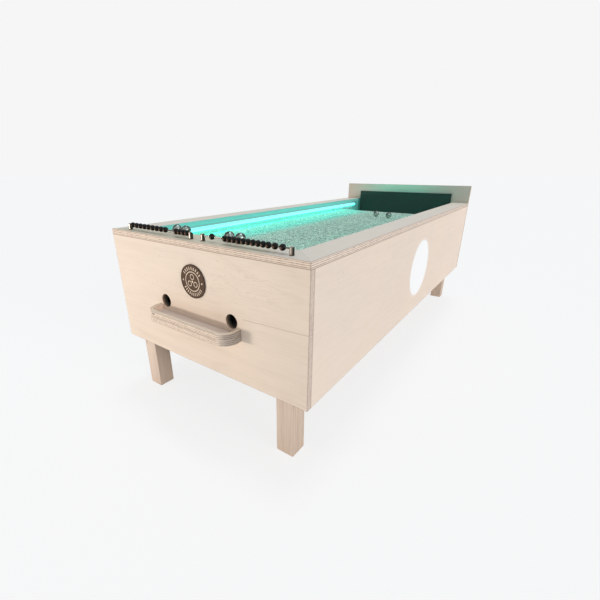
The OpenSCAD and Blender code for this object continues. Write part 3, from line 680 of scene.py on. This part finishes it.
def engraved(name):
    """Laser engraved wood: the raised marks keep the pale wood, the ground between them and the outer ring
    are burnt brown."""
    f = Finish(name, IOR=1.45, Specular_IOR_Level=0.12)
    low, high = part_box("badge")
    x, y, z = f.parts
    up = z - (low[2] + high[2]) / 2
    inside = 1.0 - (x * x + up * up).math("SQRT").over((high[2] - low[2]) / 2 * 0.935, 1.0 * MM)
    raised = (low[1] + BADGE_CUT * 0.5 - y).over(0.0, BADGE_CUT * 0.2) * inside
    front = abs(f.facing[1]).over(0.7, 0.1)
    burn = f.grain((40.0, 300.0, 420.0), rough=0.6)
    streak = f.grain((70.0, 300.0, 900.0), rough=0.6)
    ground = f.blend(burn, srgb(100, 77, 60), srgb(80, 59, 45))
    wood = f.blend(streak, srgb(232, 210, 186), srgb(206, 180, 154))
    colour = f.blend(raised * front, ground, wood)
    colour = f.blend((1.0 - front) * 0.85, colour, srgb(52, 36, 28))
    return f.feed(Base_Color=colour, Roughness=0.6 + (burn - 0.5) * 0.2, Normal=f.bump(streak, 0.1 * MM, 0.5))


TUBE_STRENGTH = 8.0
TUBE_FRONT, TUBE_BACK = (0.050, 1.0, 0.83), (0.033, 0.112, 0.108)
LENS_STRENGTH = 0.69


def tube_finish(name, towards):
    """An opal tube round a strip of diodes. Its side towards the lane and the mat is far the brighter.
    towards is the lane's side of the tube: 1 to the right, -1 to the left."""
    f = Finish(name, IOR=1.49, Roughness=0.35, Specular_IOR_Level=0.2, Emission_Strength=TUBE_STRENGTH)
    broad = f.noise(f.place, 12.0, detail=2.0, rough=0.5)
    x, _, z = f.facing
    lit = f.blend((x * (0.6 * towards) + z * -0.8).most(0.0), TUBE_BACK, TUBE_FRONT)
    lit = f.blend(broad.over(0.5, 0.6) * 0.05, lit, tuple(c * 0.7 for c in TUBE_BACK))
    return f.feed(Base_Color=f.blend(broad, srgb(70, 150, 142), srgb(64, 142, 134)), Emission_Color=lit)


def lens_finish(name):
    """A flat opal lens lit evenly from behind."""
    f = Finish(name, IOR=1.49, Roughness=0.4, Specular_IOR_Level=0.1, Emission_Strength=LENS_STRENGTH)
    broad = f.noise(f.place, 12.0, detail=2.0, rough=0.5)
    lit = f.blend(broad.over(0.5, 0.6) * 0.02, (1.0, 1.0, 1.0), (0.9, 0.9, 0.9))
    return f.feed(Base_Color=f.blend(broad, srgb(122, 122, 121), srgb(116, 116, 115)), Emission_Color=lit)


# Pieces


def linked(name, mesh):
    """A new object of the scene for a mesh."""
    made = bpy.data.objects.new(name, mesh)
    bpy.context.scene.collection.objects.link(made)
    return made


def flat_mesh(name, points, faces):
    """A flat shaded object from arrays of points and faces."""
    mesh = bpy.data.meshes.new(name)
    mesh.from_pydata(points.tolist(), [], faces)
    mesh.update()
    mesh.polygons.foreach_set("use_smooth", np.zeros(len(mesh.polygons), bool))
    return linked(name, mesh)


def dress(piece, finish):
    """Gives a piece one material."""
    piece.data.materials.clear()
    piece.data.materials.append(finish)
    return piece


def cad_copy(node, ending):
    """A free copy of a CAD node's mesh, named after the node."""
    mesh = nodes[node].data.copy()
    mesh.name = node + ending
    return mesh


def stand_in(piece, node, finish, body):
    """Dresses a piece and shows it in place of a CAD node, on a body."""
    dress(piece, finish)
    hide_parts(node)
    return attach(piece, body)


EASED_EDGE = 0.8 * MM


def eased(node, finish):
    """A board with its sharp edges eased: the CAD node's mesh, merged, its flat faces joined, bevelled."""
    mesh = cad_copy(node, "_eased")
    work = bmesh.new()
    work.from_mesh(mesh)
    bmesh.ops.remove_doubles(work, verts=work.verts, dist=1e-6)
    bmesh.ops.dissolve_limit(work, angle_limit=math.radians(1.0), verts=work.verts, edges=work.edges)
    work.to_mesh(mesh)
    work.free()
    if "custom_normal" in mesh.attributes:
        mesh.attributes.remove(mesh.attributes["custom_normal"])
    mesh.polygons.foreach_set("use_smooth", np.ones(len(mesh.polygons), bool))
    piece = linked(mesh.name, mesh)
    bevel = piece.modifiers.new("ease", "BEVEL")
    bevel.width, bevel.segments, bevel.limit_method = EASED_EDGE, 2, "ANGLE"
    bevel.angle_limit = math.radians(30.0)
    bevel.harden_normals = True
    return stand_in(piece, node, finish, TABLE)


def fuller(node, finish, share):
    """Beads a little thicker than their solids. Each point of the CAD node's mesh keeps its place along the
    rod, and its distance from the rod's axis is multiplied by the share. The beads keep their own body."""
    low, high = (np.array(corner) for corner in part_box(node))
    axis = (low + high) / 2
    mesh = cad_copy(node, "_turned")
    points = np.empty(len(mesh.vertices) * 3)
    mesh.vertices.foreach_get("co", points)
    points = points.reshape(-1, 3)
    points[:, 1:] = axis[1:] + (points[:, 1:] - axis[1:]) * share
    mesh.vertices.foreach_set("co", points.ravel())
    mesh.update()
    return stand_in(linked(mesh.name, mesh), node, finish, node)


def granular_mat(node, finish, step, relief):
    """The lane mat as one closed skin. Its top is a grid of points a step apart. Each is moved at random by
    up to a third of a step along x and y, and let down by the relief times the square of a random number,
    so that neighbours stand as separate crumbs. The border points are not moved sideways and are carried
    straight down to the mat's bottom, where one flat face closes the skin."""
    low, high = (np.array(corner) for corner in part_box(node))
    across, along = (int(round(length / step)) for length in (high - low)[:2])
    rng = np.random.default_rng(11)
    x, y = np.meshgrid(np.linspace(low[0], high[0], across + 1), np.linspace(low[1], high[1], along + 1),
                       indexing="ij")
    drift = rng.uniform(-step / 3, step / 3, (2, across - 1, along - 1))
    x[1:-1, 1:-1] += drift[0]
    y[1:-1, 1:-1] += drift[1]
    z = high[2] - relief * rng.uniform(0.0, 1.0, x.shape) ** 2
    top = np.stack([x, y, z], axis=-1).reshape(-1, 3)
    index = np.arange(top.shape[0]).reshape(x.shape)
    quads = np.stack([index[:-1, :-1], index[1:, :-1], index[1:, 1:], index[:-1, 1:]], axis=-1).reshape(-1, 4)
    ring = np.concatenate([index[:-1, 0], index[-1, :-1], index[:0:-1, -1], index[0, :0:-1]])
    foot = top[ring].copy()
    foot[:, 2] = low[2]
    under = top.shape[0] + np.arange(ring.size)
    skirt = np.stack([ring, under, np.roll(under, -1), np.roll(ring, -1)], axis=-1)
    faces = quads.tolist() + skirt.tolist() + [under[::-1].tolist()]
    return stand_in(flat_mesh(node + "_crumb", np.concatenate([top, foot]), faces), node, finish, TABLE)


BOARDS = {
    # node: (axis through the thickness, axis of the face grain, tone, figure, marks)
    "front_panel": ("y", "x", 1.0, 0.6, [flame, veneer_joint, singed_and_shaded_bores, darker_ends]),
    "end_board": ("y", "x", 0.96, 0.3, [behind_bumper]),
    "side_panel_left": ("x", "y", 1.0, 0.3, []),
    "side_panel_right": ("x", "y", 1.0, 0.15, [paler_far, painted_lens_glow]),
    "front_rim": ("z", "x", 0.95, 0.2, [painted_tube_glow("y", 1, EDGE_GLOW_TINT), mitre, painted_rim_shade]),
    "rim_left": ("z", "y", 0.96, 0.2, [painted_tube_glow("x", 1, EDGE_GLOW_TINT), mitre, painted_rim_shade, pale_edge]),
    "rim_right": ("z", "y", 0.98, 0.15, [painted_tube_glow("x", -1, EDGE_GLOW_TINT), mitre, painted_rim_shade, pale_edge]),
    "inner_wall_left": ("x", "y", 1.0, 0.4, [painted_tube_glow("x", 1, WALL_GLOW_TINT), past_tube]),
    "inner_wall_right": ("x", "y", 1.0, 0.4, [painted_tube_glow("x", -1, WALL_GLOW_TINT), past_tube]),
    "lane_board": ("z", "y", 1.0, 0.6, [painted_shade_behind_outlets]),
    "return_ramp": ("z", "y", 1.0, 0.6, [painted_shade_behind_outlets]),
    "centre_guide": ("z", "y", 1.0, 0.6, [painted_shade_behind_outlets]),
    "side_guide_left": ("z", "y", 1.0, 0.6, [painted_shade_behind_outlets]),
    "side_guide_right": ("z", "y", 1.0, 0.6, [painted_shade_behind_outlets]),
    "tray_floor": ("z", "x", 0.97, 0.4, [painted_shade_tray_end, painted_light_tray_inside]),
    "tray_rim": ("z", "x", 0.96, 0.4, [painted_shade_tray_end, tray_mark]),
}
for seed, (node, (across, along, tone, figure, marks)) in enumerate(BOARDS.items(), 1):
    eased(node, plywood(node, across, along, seed, tone, figure, marks))

TIMBERS = {
    # node: axis of the grain
    "batten_left": "y", "batten_right": "y",
    "leg_front_left": "z", "leg_front_right": "z", "leg_rear_left": "z", "leg_rear_right": "z",
    "lane_cleat_left": "y", "lane_cleat_right": "y", "ramp_cleat_left": "y", "ramp_cleat_right": "y",
}
for seed, (node, along) in enumerate(TIMBERS.items(), 1):
    eased(node, timber(node, along, seed))

PLAIN_PIECES = [
    (metal("zinc_steel", (190, 192, 194), 0.35), ["leg_bolts", "side_light_pan"]),
    (metal("polished_chrome", (104, 104, 98), 0.16, scratch=0.04), ["score_rod_left", "score_rod_right"]),
    (metal("satin_aluminium", (205, 208, 210), 0.34, brushed="y"),
     ["light_channel_left", "light_channel_right"]),
    (metal("trim_aluminium", (205, 208, 210), 0.30, brushed="x"), ["lane_edge_trim"]),
    (plastic("black_plastic", (28, 28, 29), 0.5, 0.5), ["light_end_caps", "power_supply", "power_inlet"]),
    (plastic("white_board", (238, 238, 235), 0.45, 0.2),
     ["light_strip_left", "light_strip_right", "side_light_board"]),
    (plastic("wire_sheath", (214, 213, 208), 0.4, 0.2), ["light_wiring"]),
    (plastic("jack_paint", (214, 120, 48), 0.4, 0.3), ["jack"]),
    (bumper_rubber("bumper_rubber"), ["end_bumper"]),
    (tube_finish("tube_left_glow", 1.0), ["light_tube_left"]),
    (tube_finish("tube_right_glow", -1.0), ["light_tube_right"]),
    (lens_finish("lens_glow"), ["side_light_lens"]),
    (post_finish("post_steel"), ["score_posts"]),
    (engraved("engraved_badge"), ["badge"]),
]
for finish, dressed in PLAIN_PIECES:
    for node in dressed:
        dress(nodes[node], finish)

BEAD_ROWS = ["waiting_beads_left", "next_bead_left", "scored_beads_left",
             "waiting_beads_right", "next_bead_right", "scored_bead_right"]
BEAD_SHARE = 1.15
bead_stain = dark_beads("stained_beads")
for node in BEAD_ROWS:
    fuller(node, bead_stain, BEAD_SHARE)

BOULES = ["boule_rim_1", "boule_rim_2", "boule_rim_3", "boule_rim_4", "boule_mat_1", "boule_mat_2"]
for seed, node in enumerate(BOULES, 1):
    dress(nodes[node], boule_finish(node + "_steel", seed))

granular_mat("lane_mat", granulate("lane_granulate"), step=3.4 * MM, relief=0.6 * MM)

# Studio and camera

# What the camera sees as background, and the sky that lights the object
BACKDROP, SKY = (0.92, 0.92, 0.92), (0.42, 0.455, 0.485)
# The floor's colour and glow as the camera sees them, and its colour for the light that it throws back
FLOOR_SEEN, FLOOR_LIFT, FLOOR_LIT = (0.14, 0.137, 0.133), (0.812, 0.811, 0.808), (0.86, 0.83, 0.80)
FLOOR_REACH = 60.0
# The glow lamps lie just under the rim's top. Their watts are for each metre of their width
GLOW_HEIGHT = RIM_TOP - 4 * MM
GLOW_WATTS, GLOW_COLOUR = 4.05, (0.0, 1.0, 0.95)
# The camera was solved on a picture 600 points wide. Angles are in radians
FOCAL_POINTS, PICTURE_POINTS, SENSOR = 346.10, 600, 36.0
CAMERA_PLACE = (0.7859, FRONT_Y - 0.6269, 0.7819)
CAMERA_YAW, CAMERA_PITCH = 0.6234, 0.3863
CAMERA_SHIFT = (0.0220, 0.0186)


def aim(lamp, direction):
    """Turns a lamp so that it shines along a direction."""
    x, y, z = direction
    flat = math.hypot(x, y)
    lamp.rotation_euler = (math.atan2(flat, -z), 0.0, math.atan2(-x, y))


def sun(name, level, direction, colour, angle):
    """A soft sun. level is what it adds to a white surface that faces it."""
    data = bpy.data.lights.new(name, "SUN")
    data.energy, data.color, data.angle = level * math.pi, colour, math.radians(angle)
    aim(linked(name, data), direction)


def panel_lamp(name, watts, place, size, colour):
    """A rectangular lamp that the camera does not see. It shines straight down."""
    data = bpy.data.lights.new(name, "AREA")
    data.energy, data.color, data.shape = watts, colour, "RECTANGLE"
    data.size, data.size_y = size
    lamp = linked(name, data)
    lamp.location = place
    lamp.visible_camera = False
    return lamp


def softbox(name, watts, place, target, size, colour, spread):
    """A rectangular soft lamp that shines at a target, within an angle of spread."""
    lamp = panel_lamp(name, watts, place, size, colour)
    lamp.data.spread = math.radians(spread)
    aim(lamp, [t - p for t, p in zip(target, place)])


def lane_glow(x, width):
    """The even light that a tube throws on the mat, as a low lamp along it that no camera or metal sees."""
    low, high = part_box("lane_mat")
    place = (x, (low[1] + high[1]) / 2, GLOW_HEIGHT)
    lamp = panel_lamp("lane_glow", GLOW_WATTS * width, place, (width, high[1] - low[1]), GLOW_COLOUR)
    lamp.visible_glossy = False


def seen_rays(shading):
    """1 for rays that show the background: those of the camera and those in metal and glass."""
    camera, glossy, through = shading.node(
        "ShaderNodeLightPath", output=["Is Camera Ray", "Is Glossy Ray", "Is Transmission Ray"])
    return camera.most(glossy).most(through)


def floor():
    """A large pale floor that keeps the object's shadow."""
    f = Finish("studio_floor", Roughness=0.9, Specular_IOR_Level=0.0, Emission_Strength=1.0)
    seen = seen_rays(f)
    pale = f.blend(f.noise(f.place, 3.0), FLOOR_SEEN, tuple(c * 0.99 for c in FLOOR_SEEN))
    f.feed(Base_Color=f.blend(seen, FLOOR_LIT, pale),
           Emission_Color=f.blend(seen, (0.0, 0.0, 0.0), FLOOR_LIFT))
    corners = [(-1, -1, 0), (1, -1, 0), (1, 1, 0), (-1, 1, 0)]
    dress(flat_mesh("floor", np.array(corners) * FLOOR_REACH, [(0, 1, 2, 3)]), f.material)


def studio_world():
    """An even, slightly cool sky that shows as the pale background."""
    world = bpy.data.worlds.new("studio_sky")
    bpy.context.scene.world = world
    world.use_nodes = True
    sky = Shading(world.node_tree)
    sky.set_input(sky.tree.nodes["Background"].inputs["Color"], sky.blend(seen_rays(sky), SKY, BACKDROP))


def photo_camera():
    """The camera that took the photograph, as solved from the box's corners."""
    camera = linked("camera", bpy.data.cameras.new("camera"))
    camera.location = CAMERA_PLACE
    camera.rotation_euler = (math.pi / 2 - CAMERA_PITCH, 0.0, CAMERA_YAW)
    camera.data.sensor_width = SENSOR
    camera.data.lens = FOCAL_POINTS / PICTURE_POINTS * SENSOR
    camera.data.shift_x, camera.data.shift_y = CAMERA_SHIFT
    camera.data.clip_start, camera.data.clip_end = 0.05, 200.0
    bpy.context.scene.camera = camera


floor()
studio_world()
softbox("key", watts=13.8, place=(-2.1, -3.1, 0.28), target=(0.0, FRONT_Y, 0.45), size=(0.6, 0.3),
        colour=(1.0, 0.925, 0.85), spread=100.0)
sun("fill", level=0.42, direction=(-1.0, 0.10, -0.30), colour=(1.0, 1.0, 1.07), angle=30.0)
sun("overhead", level=0.26, direction=(0.05, -0.20, -1.0), colour=(0.80, 1.03, 1.25), angle=12.0)
lane_glow(x=-0.207, width=0.12)
lane_glow(x=0.262, width=0.05)
photo_camera()
bpy.context.scene.view_settings.view_transform = "Standard"
